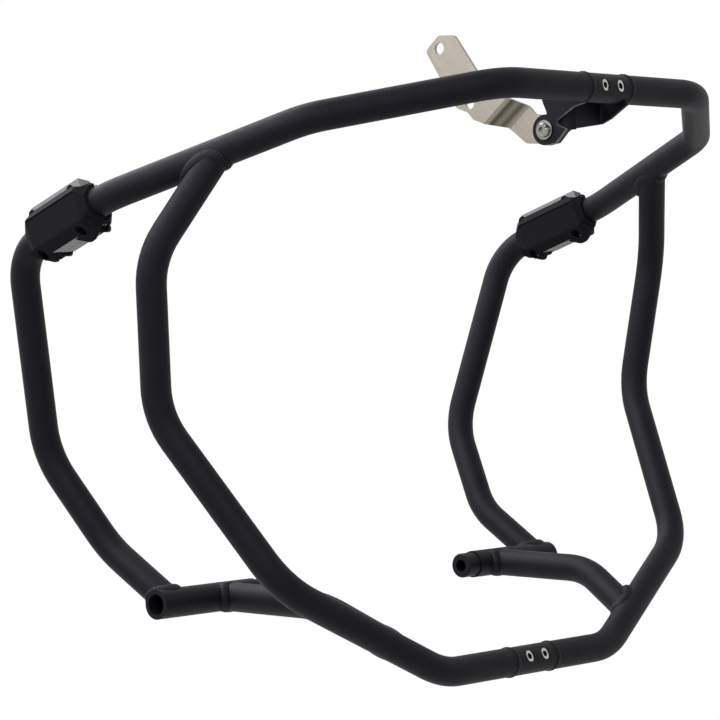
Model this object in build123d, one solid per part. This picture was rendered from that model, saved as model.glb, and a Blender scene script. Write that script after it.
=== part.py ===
from build123d import *
import math
import os

# Frame: millimetres, X across to the rider's left, Y to the rear, Z up.
# The origin lies midway between the two engine bosses, on their common axis.
# Stations are points on the tubes' centre lines in the left half, and the right half mirrors it.

# Tube stock and fits
TUBE_OD = 27.0
TUBE_WALL = 2.0
WIDE_BEND = 76.0
TIGHT_BEND = 54.0
ROOT_GAP = 0.15
SLIP = 0.1

# Hoop, from the top joint round the side to the boss
TOP_BAR_Y = -284.0
TOP_BAR_Z = 466.0
TOP_CORNER_X = 145.0
SHOULDER = (290.0, -186.0, 432.0)
PAD_FRONT = (359.0, -12.0, 366.0)
PAD_REAR = (350.0, 109.0, 318.0)
HIP = (299.0, 132.0, 130.0)
ANKLE = (273.0, 75.0, 45.0)
HOOP_FOOT_X = 269.0

# Front tube, from its branch on the hoop down to the bottom joint
BRANCH_FROM_SHOULDER = 87.0
CHEST = (368.0, -75.0, 313.0)
WAIST = (349.0, -64.0, 175.0)
KNEE = (292.0, -160.0, 27.0)
BOTTOM_CORNER_X = 123.0
BOTTOM_BAR_Y = -200.0
BOTTOM_BAR_Z = -61.0

# Cross tube, from the boss forward to the front tube
CROSS_FOOT_X = 199.0
CROSS_BEND = (198.0, -118.0, 1.0)
CROSS_FROM_CORNER = 61.0

# Engine boss and its turned bush
BOSS_OUTER_X = 288.0
BOSS_INNER_X = 163.0
BOSS_BORE = 19.0
BUSH_LENGTH = 18.0
BUSH_OD = 24.5
BUSH_PLUG = 22.0
BUSH_BORE = 12.4
BUSH_CHAMFER = 1.2

# Coped branch ends and weld beads
COPE_TRIM = 4.0
BEAD_RADIUS = 3.8
RING_BEAD_WIDTH = 7.0
RING_BEAD_HEIGHT = 1.2

# Socket and spigot joints on the mirror plane
JOINT_HALF = 30.0
SPIGOT_SHOULDER = 4.5
SOCKET_FLOOR = 8.0
LIP_GAP = 0.3
SPIGOT_OD = 19.0
SPIGOT_END_GAP = 1.0
SPIGOT_CHAMFER = 1.5
JOINT_PLUG = 16.0
JOINT_SCREW_SPACING = 23.0
JOINT_SCREW_HEAD = 10.8
JOINT_SCREW_SHANK = 6.0
JOINT_SCREW_SINK = 1.1
JOINT_SCREW_DEPTH = 18.0
JOINT_HEX = 4.0
JOINT_HEX_DEPTH = 2.4
TOP_SCREW_TILT = 11.0
BOTTOM_SCREW_TILT = 25.0

# Bracket plates under the top joint, outlines as (Y, Z) steps from the socket's axis or the bolt
PLATE = 4.0
FRONT_PLATE_X = -26.0
EAR_Y = -238.5
EAR_Z = 429.0
EAR_RADIUS = 14.0
NOSE_FROM_BOLT = [(-8.4, 6.3), (-23.6, 0.0), (-12.0, -12.0), (-3.0, -13.6)]
WEB_FROM_SOCKET = [(6.7, 6.7), (0.0, -6.7), (-4.5, -12.1), (14.0, -16.9)]
WEB_FROM_BOLT = [(-9.6, 6.3), (0.0, 0.0), (-1.8, 15.8), (3.3, 26.2), (3.3, 38.0)]
REAR_PLATE_Y = -262.0
REAR_PLATE_TOP = 458.0
FIN_X = 26.0
FIN_FROM_RUN = [(-4.0, 0.0), (-14.0, 4.5), (-32.0, 16.5)]
PLATE_BEND = 3.0
RUN_RISE = 6.0

# Bracket bolt, washer and nut
BOLT = 8.0
BOLT_HOLE_PLAY = 0.5
BOLT_HEAD = 14.0
BOLT_HEAD_HEIGHT = 4.4
BOLT_CROWN = (0.7, 0.44)
BOLT_HEX = 5.0
BOLT_HEX_DEPTH = 2.6
BOLT_TAIL = 2.0
WASHER_OD = 18.0
WASHER = 1.6
NUT_FLATS = 13.0
NUT_HEIGHT = 6.5
NUT_CHAMFER = 0.8

# Stay strap, a cranked stainless strip, outline as (Y, Z) steps from the bolt with corner radii
STRAP = 3.0
STRAP_JOG = 14.0
STRAP_BEND = 4.0
STRAP_SLOPE = 49.5
STRAP_END_RADIUS = 13.0
JOG_FROM_BOLT = (48.0, 3.2)
TAB_HOLE_FROM_BOLT = (120.2, 78.8)
TAB_HOLE = 11.0
SPARE_HOLE_FROM_BOLT = (83.5, 26.0)
SPARE_HOLE = 10.0
STRAP_UPPER_EDGE = [((17.4, 15.3), 6.0), ((25.2, 22.7), 4.0), ((39.5, 30.5), 6.0), ((55.5, 31.0), 9.0)]
STRAP_TAB = [((102.5, 90.5), 5.0), ((121.5, 91.0), 6.0), ((137.0, 77.0), 5.0)]
STRAP_LOWER_EDGE = [((99.0, 22.5), 6.0), ((85.5, 18.0), 4.0), ((79.5, 11.5), 4.0), ((66.3, 7.0), 8.0)]
STRAP_HEEL = [(JOG_FROM_BOLT, 8.0), ((27.5, -11.5), 6.0)]

# Crash pads, in their own frame: along the tube, out sideways, up
PAD_ROLL = -4.0
PAD_BORE_GAP = 0.35
PARTING_GAP = 0.25
FACE_OUT = 21.0
FACE_FRONT = -40.0
FACE_REAR = 32.0
FACE_TOP = 14.85
FACE_BOTTOM = -12.5
CREASE_OUT = 19.8
CREASE_UP = -15.1
RIM_OUT = 13.0
RIM_TOP = 21.5
RIM_BOTTOM = -21.5
NECK_FRONT = -47.0
NECK_REAR = 42.0
NECK_RADIUS = 17.5
NECK_SLANTS = (60.0, 22.5, -22.5, -41.0, -60.0)
RIM_FRONT = -32.0
RIM_REAR = 26.0
CORNER_CUT_UP = 16.35
NECK_CUT_UP = 18.3
FACE_EDGE = 1.2
GROOVE_WIDTH = 1.2
GROOVE_DEPTH = 1.0

# Pad screws from the side away from the nuts, into bosses above and lugs below
PAD_SCREW_SPACING = 58.0
PAD_SCREW_UP = 19.0
PAD_SCREW = 4.0
PAD_SCREW_PLAY = 0.3
PAD_SCREW_END = 8.5
PAD_SCREW_SPARE = 1.0
PAD_HEAD = 7.0
PAD_HEAD_HEIGHT = 3.5
PAD_HEAD_SEAT = 13.8
PAD_HEAD_HEX = 3.0
PAD_PILLAR_RADIUS = 3.2
PAD_BOSS_RADIUS = 4.6
PAD_BOSS_SINK = 0.3
PAD_NUT_FLATS = 7.0
PAD_NUT_HEIGHT = 3.2

# Pad lugs, outlines as (along, up) corners with radii
LUG_RADIUS = 5.8
LUG_POCKET_RADIUS = 4.4
LUG_NUT_SEAT = 4.0
LUG_INNER = 3.5
LUG_SHOULDER_OUT = 20.0
LUG_TIP_OUT = 5.0
LUG_LOW = -29.5
LUG_FRONT = [((-14.5, -21.9), 3.0), ((-25.0, -29.5), 5.0), ((-32.5, -29.2), 6.0), ((-45.5, -21.8), 2.0)]
LUG_REAR = [((16.5, -21.9), 3.0), ((24.5, -29.5), 4.0), ((33.0, -22.8), 4.0), ((40.5, -17.5), 2.0)]

# Pad clamps between the covers
CLAMP_TOP = 24.8
CLAMP_BOTTOM = -21.9
CLAMP_BOTTOM_HALF = 17.0
CLAMP_FRONT = -43.0
CLAMP_NOSE_TOP = 21.4
CLAMP_NOSE_BACK = -34.0
CLAMP_FRONT_BOTTOM = -14.5
CLAMP_SHOULDER = 28.0
CLAMP_REAR = 38.0
CLAMP_REAR_TOP = 17.5
CLAMP_REAR_BOTTOM = -15.5
CLAMP_RING = 16.5
CLAMP_GAP = 0.25

# Values that follow from the sizes above
TUBE_R = TUBE_OD / 2
BORE_R = TUBE_R - TUBE_WALL
SOCKET_LIP_X = JOINT_HALF - SPIGOT_SHOULDER
TOP_JOINT = Vector(0, TOP_BAR_Y, TOP_BAR_Z)
BOTTOM_JOINT = Vector(0, BOTTOM_BAR_Y, BOTTOM_BAR_Z)
BOTTOM_CORNER = (BOTTOM_CORNER_X, BOTTOM_BAR_Y, BOTTOM_BAR_Z)
REAR_PLATE_X = FRONT_PLATE_X + PLATE
STRAP_X = REAR_PLATE_X + PLATE
MIRROR = Plane.YZ


def along(start, end, distance):
    """Point a distance from start on the line to end."""
    start, end = Vector(start), Vector(end)
    return start + (end - start).normalized() * distance


def heading(start, end):
    """Unit vector from start to end."""
    return (Vector(end) - Vector(start)).normalized()


def bar(path, radius):
    """Round solid of a radius along a path."""
    section = Plane(origin=path @ 0, z_dir=path % 0) * Circle(radius)
    return sweep(section, path=path)


def tube(path):
    """Hollow tube of the bars' stock along a path."""
    return bar(path, TUBE_R) - bar(path, BORE_R)


def turned(profile):
    """Solid turned about X from points of (place along X, radius)."""
    face = make_face(Polyline(*profile, close=True))
    return revolve(face, Axis.X)


def hexagon(flats):
    """Hexagon by its width across flats."""
    return RegularPolygon(radius=flats / math.sqrt(3), side_count=6)


def group(*pieces):
    """One node of several separate solids."""
    return Compound([solid for piece in pieces for solid in piece.solids()])


# Centre lines of the left half
FRONT_BRANCH = along(SHOULDER, PAD_FRONT, BRANCH_FROM_SHOULDER)
CROSS_BRANCH = along(BOTTOM_CORNER, KNEE, CROSS_FROM_CORNER)
HOOP_FOOT = Vector(HOOP_FOOT_X, 0, 0)
CROSS_FOOT = Vector(CROSS_FOOT_X, 0, 0)

hoop_path = FilletPolyline(
    (JOINT_HALF, TOP_BAR_Y, TOP_BAR_Z),
    (TOP_CORNER_X, TOP_BAR_Y, TOP_BAR_Z),
    SHOULDER,
    PAD_FRONT,
    PAD_REAR,
    HIP,
    ANKLE,
    along(HOOP_FOOT, ANKLE, COPE_TRIM),
    radius=[WIDE_BEND, TIGHT_BEND, WIDE_BEND, TIGHT_BEND, WIDE_BEND, WIDE_BEND],
)
front_path = FilletPolyline(
    along(FRONT_BRANCH, CHEST, COPE_TRIM),
    CHEST,
    WAIST,
    KNEE,
    BOTTOM_CORNER,
    (JOINT_HALF, BOTTOM_BAR_Y, BOTTOM_BAR_Z),
    radius=[WIDE_BEND] * 4,
)
cross_path = FilletPolyline(
    along(CROSS_FOOT, CROSS_BEND, COPE_TRIM),
    CROSS_BEND,
    along(CROSS_BRANCH, CROSS_BEND, COPE_TRIM),
    radius=[WIDE_BEND],
)
boss_path = Line((BOSS_INNER_X, 0, 0), (BOSS_OUTER_X, 0, 0))


# Tubes, each branch coped to its carrier and trimmed short of the carrier's axis
hoop_shape = bar(hoop_path, TUBE_R + ROOT_GAP)
front_shape = bar(front_path, TUBE_R + ROOT_GAP)
boss_shape = bar(boss_path, TUBE_R + ROOT_GAP)
hoop_tube = tube(hoop_path) - boss_shape
front_tube = tube(front_path) - hoop_shape
cross_tube = tube(cross_path) - boss_shape - front_shape


# Engine boss and bush
def mount_boss():
    """Thick tube that the engine bolt passes through."""
    return bar(boss_path, TUBE_R) - bar(boss_path, BOSS_BORE / 2)


def boss_bush():
    """Turned bush with a plug that fills the inner end of the boss."""
    end = BOSS_INNER_X - BUSH_LENGTH
    plug_end = BOSS_INNER_X + BUSH_PLUG
    outer = BUSH_OD / 2
    plug = BOSS_BORE / 2 - SLIP
    bore = BUSH_BORE / 2
    return turned(
        [
            (end, bore),
            (end, outer - BUSH_CHAMFER),
            (end + BUSH_CHAMFER, outer),
            (BOSS_INNER_X, outer),
            (BOSS_INNER_X, plug),
            (plug_end, plug),
            (plug_end, bore),
        ]
    )


# Weld beads
def branch_bead(root, branch, carrier):
    """Bead along the two half ellipses where a branch meets a carrier of the same diameter."""
    across = branch.cross(carrier).normalized()
    bead = Part()
    for way in (carrier, -carrier):
        toward = (branch + way).normalized()
        reach = TUBE_R / math.sin(math.radians(branch.get_angle(way) / 2))
        plane = Plane(origin=root, x_dir=toward, z_dir=toward.cross(across))
        line = plane * EllipticalCenterArc((0, 0), reach, TUBE_R, start_angle=-90, arc_size=180)
        bead += bar(line, BEAD_RADIUS)
    for way in (across, -across):
        bead += Pos(*(root + way * TUBE_R)) * Sphere(BEAD_RADIUS)
    stock = TUBE_R + ROOT_GAP
    span = TUBE_OD * 2
    bead -= bar(Line(root - carrier * span, root + carrier * span), stock)
    return bead - bar(Line(root + branch * (COPE_TRIM - ROOT_GAP), root + branch * span), stock)


def ring_bead(joint):
    """Low round bead that closes a joint against its tube."""
    half = RING_BEAD_WIDTH / 2
    base = TUBE_R + SLIP
    foot = Line((JOINT_HALF + half, base), (JOINT_HALF - half, base))
    crown = ThreePointArc(foot @ 1, (JOINT_HALF, base + RING_BEAD_HEIGHT), foot @ 0)
    return Pos(*joint) * revolve(make_face([foot, crown]), Axis.X)


def weld_beads():
    """All beads of the left half."""
    boss_axis = Vector(1, 0, 0)
    at_hoop = branch_bead(FRONT_BRANCH, heading(FRONT_BRANCH, CHEST), heading(SHOULDER, PAD_FRONT))
    at_foot = branch_bead(HOOP_FOOT, heading(HOOP_FOOT, ANKLE), boss_axis)
    at_cross_foot = branch_bead(CROSS_FOOT, heading(CROSS_FOOT, CROSS_BEND), boss_axis)
    at_cross = branch_bead(CROSS_BRANCH, heading(CROSS_BRANCH, CROSS_BEND), heading(BOTTOM_CORNER, KNEE))
    return group(at_hoop, at_foot, at_cross_foot, at_cross, ring_bead(TOP_JOINT), ring_bead(BOTTOM_JOINT))


# Split joints: a socket on the right half, a spigot on the left half and two flush screws
SOCKET_FLOOR_X = SOCKET_FLOOR - JOINT_HALF
SCREW_TOP = TUBE_R - JOINT_SCREW_SINK


def screw_places(joint, tilt):
    """Planes of the two joint screws, with Z out along each screw."""
    lean = math.radians(tilt)
    out = (0, -math.cos(lean), math.sin(lean))
    half = JOINT_SCREW_SPACING / 2
    return [Plane(origin=joint + Vector(x, 0, 0), x_dir=(1, 0, 0), z_dir=out) for x in (-half, half)]


def countersunk(play):
    """Countersunk head and shank about Z, with play for the hole that takes it."""
    head = JOINT_SCREW_HEAD / 2 + play
    shank = JOINT_SCREW_SHANK / 2 + play
    tip = SCREW_TOP - JOINT_SCREW_DEPTH - play
    profile = Polyline(
        (0, tip),
        (shank, tip),
        (shank, SCREW_TOP - head + shank),
        (head, SCREW_TOP),
        (0, SCREW_TOP),
        close=True,
    )
    return revolve(Plane.XZ * make_face(profile), Axis.Z)


def joint_socket(joint, tilt):
    """Socket sleeve with a plug in the right tube and holes for the screws."""
    plug = BORE_R - SLIP
    sleeve = turned(
        [
            (-JOINT_HALF - JOINT_PLUG, 0),
            (-JOINT_HALF - JOINT_PLUG, plug),
            (-JOINT_HALF, plug),
            (-JOINT_HALF, TUBE_R),
            (SOCKET_LIP_X, TUBE_R),
            (SOCKET_LIP_X, SPIGOT_OD / 2 + SLIP),
            (SOCKET_FLOOR_X, SPIGOT_OD / 2 + SLIP),
            (SOCKET_FLOOR_X, 0),
        ]
    )
    sleeve = Pos(*joint) * sleeve
    seat = Pos(0, 0, SCREW_TOP) * Cylinder(
        JOINT_SCREW_HEAD / 2 + SLIP,
        JOINT_SCREW_SINK * 2,
        align=(Align.CENTER, Align.CENTER, Align.MIN),
    )
    for place in screw_places(joint, tilt):
        sleeve -= place * (countersunk(SLIP) + seat)
    return sleeve


def joint_spigot(joint, tilt):
    """Spigot with a shoulder, a plug in the left tube and holes for the screws."""
    plug = BORE_R - SLIP
    spigot = SPIGOT_OD / 2
    tip = SOCKET_FLOOR_X + SPIGOT_END_GAP
    shoulder = SOCKET_LIP_X + LIP_GAP
    turned_spigot = turned(
        [
            (tip, 0),
            (tip, spigot - SPIGOT_CHAMFER),
            (tip + SPIGOT_CHAMFER, spigot),
            (shoulder, spigot),
            (shoulder, TUBE_R),
            (JOINT_HALF, TUBE_R),
            (JOINT_HALF, plug),
            (JOINT_HALF + JOINT_PLUG, plug),
            (JOINT_HALF + JOINT_PLUG, 0),
        ]
    )
    turned_spigot = Pos(*joint) * turned_spigot
    for place in screw_places(joint, tilt):
        turned_spigot -= place * countersunk(SLIP)
    return turned_spigot


def joint_screws(joint, tilt):
    """Two countersunk screws with hexagon sockets."""
    recess = Pos(0, 0, SCREW_TOP - JOINT_HEX_DEPTH) * extrude(hexagon(JOINT_HEX), JOINT_HEX_DEPTH)
    screw = countersunk(0) - recess
    return group(*[place * screw for place in screw_places(joint, tilt)])


# Bracket under the top joint
BOLT_AXIS = Vector(EAR_Y, EAR_Z)
SOCKET_AXIS = Vector(TOP_BAR_Y, TOP_BAR_Z)
BRACKET_SPAN = JOINT_HALF * 2
BOLT_HOLE_R = (BOLT + BOLT_HOLE_PLAY) / 2
sleeve_shape = Pos(*TOP_JOINT) * Rot(0, 90, 0) * Cylinder(TUBE_R + ROOT_GAP, BRACKET_SPAN)
bolt_clearance = Pos(0, EAR_Y, EAR_Z) * Rot(0, 90, 0) * Cylinder(BOLT_HOLE_R, BRACKET_SPAN)


def steps(anchor, offsets):
    """Outline points at offsets from an anchor."""
    return [anchor + Vector(*offset) for offset in offsets]


def side_plate(points, x, thickness):
    """Flat plate across X from an outline of (Y, Z) points."""
    outline = Plane.YZ.offset(x) * make_face(Polyline(*points, close=True))
    return extrude(outline, thickness)


def hull(points):
    """Face within the tight line round a loop of points."""
    return make_hull(Polyline(*points, close=True).edges())


def ear(x, thickness, radius):
    """Round end of a plate about the bracket bolt."""
    return extrude(Plane.YZ.offset(x) * Pos(*BOLT_AXIS) * Circle(radius), thickness)


def nosed_ear(x, thickness):
    """Ear with the pointed corner at its lower front."""
    corner = side_plate([BOLT_AXIS] + steps(BOLT_AXIS, NOSE_FROM_BOLT), x, thickness)
    return ear(x, thickness, EAR_RADIUS) + corner


def front_plate():
    """Flat plate from behind the socket down to the bolt."""
    web = steps(SOCKET_AXIS, WEB_FROM_SOCKET) + steps(BOLT_AXIS, WEB_FROM_BOLT)
    plate = side_plate(web, FRONT_PLATE_X, PLATE) + nosed_ear(FRONT_PLATE_X, PLATE)
    return plate - sleeve_shape - bolt_clearance


def rear_plate():
    """Plate folded twice: an ear behind the bolt, a run under the socket and a fin to its far end."""
    middle = PLATE / 2
    front_y = REAR_PLATE_Y - PLATE
    fin_points = steps(Vector(REAR_PLATE_Y, EAR_Z + RUN_RISE), FIN_FROM_RUN)
    fin_tip = fin_points[-1].X
    fold = FilletPolyline(
        (REAR_PLATE_X + middle, EAR_Y + EAR_RADIUS),
        (REAR_PLATE_X + middle, front_y + middle),
        (FIN_X - middle, front_y + middle),
        (FIN_X - middle, fin_tip),
        radius=PLATE_BEND + middle,
    )
    section = make_face(fold.offset_2d(middle, kind=Kind.INTERSECTION, side=Side.BOTH))
    low = min(EAR_Z - EAR_RADIUS, REAR_PLATE_TOP)
    high = max(EAR_Z + EAR_RADIUS, REAR_PLATE_TOP)
    strip = extrude(Pos(0, 0, low) * section, high - low)
    back = REAR_PLATE_Y + PLATE_BEND
    run = [
        (REAR_PLATE_X, EAR_Z),
        (FIN_X, EAR_Z + RUN_RISE),
        (FIN_X, REAR_PLATE_TOP),
        (REAR_PLATE_X, REAR_PLATE_TOP),
    ]
    room = extrude(Plane.XZ.offset(-back) * hull(run), back - front_y)
    fin = [(back, EAR_Z + RUN_RISE)] + fin_points + [(fin_tip, REAR_PLATE_TOP), (back, REAR_PLATE_TOP)]
    folded = PLATE + PLATE_BEND
    room += extrude(Plane.YZ.offset(FIN_X - folded) * hull(fin), folded)
    cheek = [
        (EAR_Y, EAR_Z),
        (EAR_Y, EAR_Z + EAR_RADIUS),
        (back, REAR_PLATE_TOP),
        (front_y, REAR_PLATE_TOP),
        (front_y, EAR_Z),
    ]
    room += extrude(Plane.YZ.offset(REAR_PLATE_X) * hull(cheek), folded)
    room += nosed_ear(REAR_PLATE_X, folded)
    return (strip & room) - sleeve_shape - bolt_clearance


# Stay strap
def stay_strap():
    """Strip bolted behind the ears, cranked over to the right and up to the tab."""
    slope = math.radians(STRAP_SLOPE)
    start = BOLT_AXIS + Vector(*JOG_FROM_BOLT)
    side = Plane(
        origin=(STRAP_X, start.X, start.Y),
        x_dir=(0, math.cos(slope), math.sin(slope)),
        z_dir=(0, -math.sin(slope), math.cos(slope)),
    )
    reach = Vector(*TAB_HOLE_FROM_BOLT).length + EAR_RADIUS
    crank = FilletPolyline(
        (-reach, 0),
        (0, 0),
        (STRAP_JOG, STRAP_JOG),
        (reach, STRAP_JOG),
        radius=STRAP_BEND,
    )
    section = make_face(crank.offset_2d(STRAP, side=Side.RIGHT))
    sheet = extrude(side * section, reach, both=True)
    corners = STRAP_UPPER_EDGE + STRAP_TAB + STRAP_LOWER_EDGE + STRAP_HEEL
    ends = [(0, STRAP_END_RADIUS), (0, -STRAP_END_RADIUS)]
    points = steps(BOLT_AXIS, [ends[0]] + [point for point, radius in corners] + [ends[1]])
    radii = [0] + [radius for point, radius in corners] + [0]
    outline = make_face(FilletPolyline(*points, radius=radii, close=True))
    outline += Pos(*BOLT_AXIS) * Circle(STRAP_END_RADIUS)
    for place, size in ((TAB_HOLE_FROM_BOLT, TAB_HOLE), (SPARE_HOLE_FROM_BOLT, SPARE_HOLE)):
        outline -= Pos(*(BOLT_AXIS + Vector(*place))) * Circle(size / 2)
    outline -= Pos(*BOLT_AXIS) * Circle(BOLT_HOLE_R)
    window = extrude(Plane.YZ.offset(STRAP_X) * outline, STRAP_JOG + STRAP, both=True)
    return sheet & window


# Bracket fasteners, on an axis along X through the ears
STACK_END = STRAP_X + STRAP
HEAD_SEAT = FRONT_PLATE_X - WASHER


def on_bolt_axis(piece):
    """Piece moved from the X axis to the bracket bolt's axis."""
    return Pos(0, EAR_Y, EAR_Z) * piece


def bracket_bolt():
    """Button head bolt with a hexagon socket."""
    top = HEAD_SEAT - BOLT_HEAD_HEIGHT
    tail = STACK_END + NUT_HEIGHT + BOLT_TAIL
    rim = (HEAD_SEAT, BOLT_HEAD / 2)
    crown = (top, BOLT_HEX)
    rise, spread = BOLT_CROWN
    bulge = (HEAD_SEAT - BOLT_HEAD_HEIGHT * rise, BOLT_HEAD * spread)
    outline = [
        ThreePointArc(rim, bulge, crown),
        Polyline(crown, (top, 0), (tail, 0), (tail, BOLT / 2), (HEAD_SEAT, BOLT / 2), rim),
    ]
    recess = extrude(Plane.YZ.offset(top) * hexagon(BOLT_HEX), BOLT_HEX_DEPTH)
    return on_bolt_axis(revolve(make_face(outline), Axis.X) - recess)


def bracket_washer():
    """Plain washer under the bolt head."""
    ring = [
        (HEAD_SEAT, BOLT_HOLE_R),
        (HEAD_SEAT, WASHER_OD / 2),
        (FRONT_PLATE_X, WASHER_OD / 2),
        (FRONT_PLATE_X, BOLT_HOLE_R),
    ]
    return on_bolt_axis(turned(ring))


def hex_nut(flats, height, bore):
    """Nut along X from the origin, chamfered on both faces."""
    prism = extrude(Plane.YZ * hexagon(flats), height)
    corner = flats / math.sqrt(3)
    dome = turned(
        [
            (0, bore / 2),
            (0, corner - NUT_CHAMFER),
            (NUT_CHAMFER / 2, corner),
            (height - NUT_CHAMFER / 2, corner),
            (height, corner - NUT_CHAMFER),
            (height, bore / 2),
        ]
    )
    return prism & dome


def bracket_nut():
    """Nut behind the strap."""
    return on_bolt_axis(Pos(STACK_END, 0, 0) * hex_nut(NUT_FLATS, NUT_HEIGHT, BOLT + 2 * SLIP))


# Crash pads
def bend_tangent(before, corner, after, radius):
    """Length that a bend takes from the straight beside it."""
    turn = heading(before, corner).get_angle(heading(corner, after))
    return radius * math.tan(math.radians(turn / 2))


def pad_frame(across):
    """Frame of a pad on the hoop's straight: X along the tube, Y out to the right, Z up."""
    front, rear = [Vector(x * across, y, z) for x, y, z in (PAD_FRONT, PAD_REAR)]
    line = (rear - front).normalized()
    begin = bend_tangent(SHOULDER, PAD_FRONT, PAD_REAR, WIDE_BEND)
    end = (rear - front).length - bend_tangent(PAD_FRONT, PAD_REAR, HIP, TIGHT_BEND)
    out = Vector(0, 0, 1).cross(line).normalized()
    roll = math.radians(PAD_ROLL)
    up = line.cross(out) * math.cos(roll) - out * math.sin(roll)
    return Plane(origin=front + line * (begin + end) / 2, x_dir=line, z_dir=up)


SCREW_STATIONS = (-PAD_SCREW_SPACING / 2, PAD_SCREW_SPACING / 2)
SCREW_ROWS = (PAD_SCREW_UP, -PAD_SCREW_UP)
SCREW_HOLE_R = (PAD_SCREW + PAD_SCREW_PLAY) / 2
LUG_TOP = LUG_RADIUS - PAD_SCREW_UP + SLIP
OTHER_SIDE = Rot(0, 0, 180)


def pad_round(up, radius, near, far):
    """Two round posts on a pad's screw axes, from near to far out from the tube."""
    posts = Part()
    for station in SCREW_STATIONS:
        posts += extrude(Plane.XZ.offset(-near) * Pos(station, up) * Circle(radius), near - far)
    return posts


def clamp_block(outline, grow):
    """Block of one side's clamp by its outline, grown by a gap for the room it needs."""
    near = PARTING_GAP - grow
    far = RIM_OUT - CLAMP_GAP + grow
    return extrude(Plane.XZ.offset(-near) * outline, near - far)


def clamp_ring(grow):
    """Half ring that joins a clamp's top and bottom round the tube, grown by a gap."""
    half = CLAMP_BOTTOM_HALF + grow
    ring = extrude(Plane.YZ.offset(-half) * Circle(CLAMP_RING + grow), 2 * half)
    outside = Pos(0, PARTING_GAP + FACE_OUT, 0) * Box(2 * NECK_REAR, 2 * FACE_OUT, 4 * CLAMP_RING)
    return ring & outside


clamp_outline = make_face(
    Polyline(
        (CLAMP_FRONT, CLAMP_TOP),
        (CLAMP_SHOULDER, CLAMP_TOP),
        (CLAMP_REAR, CLAMP_REAR_TOP),
        (CLAMP_REAR, CLAMP_REAR_BOTTOM),
        (CLAMP_BOTTOM_HALF, CLAMP_BOTTOM),
        (-CLAMP_BOTTOM_HALF, CLAMP_BOTTOM),
        (CLAMP_FRONT, CLAMP_FRONT_BOTTOM),
        close=True,
    )
)


def corner_cut(first, second, third):
    """Room above the plane through three points of a pad."""
    base = Vector(first)
    to_second = Vector(second) - base
    across = to_second.cross(Vector(third) - base)
    up = across if across.Z > 0 else -across
    size = NECK_REAR - NECK_FRONT
    slab = Box(size, size, size, align=(Align.CENTER, Align.CENTER, Align.MIN))
    return Plane(origin=base, x_dir=to_second, z_dir=up) * slab


def clamp_half():
    """Clamp of one side, its front top corner cut off towards the parting plane."""
    outer = (CLAMP_FRONT, RIM_OUT, CLAMP_TOP)
    inner = (CLAMP_FRONT, PARTING_GAP, CLAMP_NOSE_TOP)
    back = (CLAMP_NOSE_BACK, PARTING_GAP, CLAMP_TOP)
    return clamp_block(clamp_outline, 0) + clamp_ring(0) - corner_cut(outer, inner, back)


def nut_clamp():
    """Clamp half beside the nuts, cleared for the lugs and the bosses of its cover."""
    clamp = clamp_half()
    clamp -= pad_round(-PAD_SCREW_UP, LUG_RADIUS + CLAMP_GAP, 0, RIM_OUT)
    return clamp - pad_round(PAD_SCREW_UP, PAD_BOSS_RADIUS + CLAMP_GAP, 0, RIM_OUT)


def head_clamp():
    """Clamp half beside the screw heads, cleared for the pillars of its cover."""
    clamp = clamp_half()
    for up in SCREW_ROWS:
        clamp -= pad_round(up, PAD_PILLAR_RADIUS + CLAMP_GAP, 0, RIM_OUT)
    return OTHER_SIDE * clamp


def cover_cap():
    """Moulded cap of one side with a collar round the tube at each end, open for the clamp between them."""
    full = [
        (PARTING_GAP, RIM_TOP),
        (RIM_OUT, RIM_TOP),
        (FACE_OUT, FACE_TOP),
        (FACE_OUT, FACE_BOTTOM),
        (CREASE_OUT, CREASE_UP),
        (RIM_OUT, RIM_BOTTOM),
        (PARTING_GAP, RIM_BOTTOM),
    ]
    slants = [math.radians(angle) for angle in NECK_SLANTS]
    bevel = [(NECK_RADIUS * math.cos(slant), NECK_RADIUS * math.sin(slant)) for slant in slants]
    neck = [(PARTING_GAP, NECK_RADIUS)] + bevel + [(PARTING_GAP, -NECK_RADIUS)]
    stations = ((NECK_FRONT, neck), (FACE_FRONT, full), (FACE_REAR, full), (NECK_REAR, neck))
    sections = [Plane.YZ.offset(x) * make_face(Polyline(*points, close=True)) for x, points in stations]
    cover = loft(sections, ruled=True)
    edges = cover.edges().filter_by_position(Axis.Y, FACE_OUT - SLIP, FACE_OUT + SLIP)
    cover = fillet(edges, FACE_EDGE)
    groove_top = FACE_TOP - FACE_EDGE / 2
    groove = Pos((FACE_FRONT + FACE_REAR) / 2, FACE_OUT, groove_top - GROOVE_WIDTH / 2)
    cover -= groove * Box(FACE_REAR - FACE_FRONT - 2 * FACE_EDGE, 2 * GROOVE_DEPTH, GROOVE_WIDTH)
    opening = CLAMP_REAR - CLAMP_FRONT + 2 * CLAMP_GAP
    middle = Pos((CLAMP_FRONT + CLAMP_REAR) / 2, RIM_OUT / 2, 0)
    cover -= middle * Box(opening, RIM_OUT, 4 * CLAMP_RING)
    for face, rim, end in ((FACE_FRONT, RIM_FRONT, NECK_FRONT), (FACE_REAR, RIM_REAR, NECK_REAR)):
        corner = (face, FACE_OUT, CORNER_CUT_UP)
        cover -= corner_cut(corner, (rim, RIM_OUT, RIM_TOP), (end, PARTING_GAP, NECK_CUT_UP))
    return cover - clamp_ring(CLAMP_GAP)


def lug_outline(corners):
    """Outline of a lug from its rounded lower corners, open height above them."""
    points = [point for point, radius in corners]
    ends = [(points[0][0], LUG_TOP), (points[-1][0], LUG_TOP)]
    radii = [0] + [radius for point, radius in corners] + [0]
    return make_face(FilletPolyline(ends[0], *points, ends[1], radius=radii, close=True))


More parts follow.
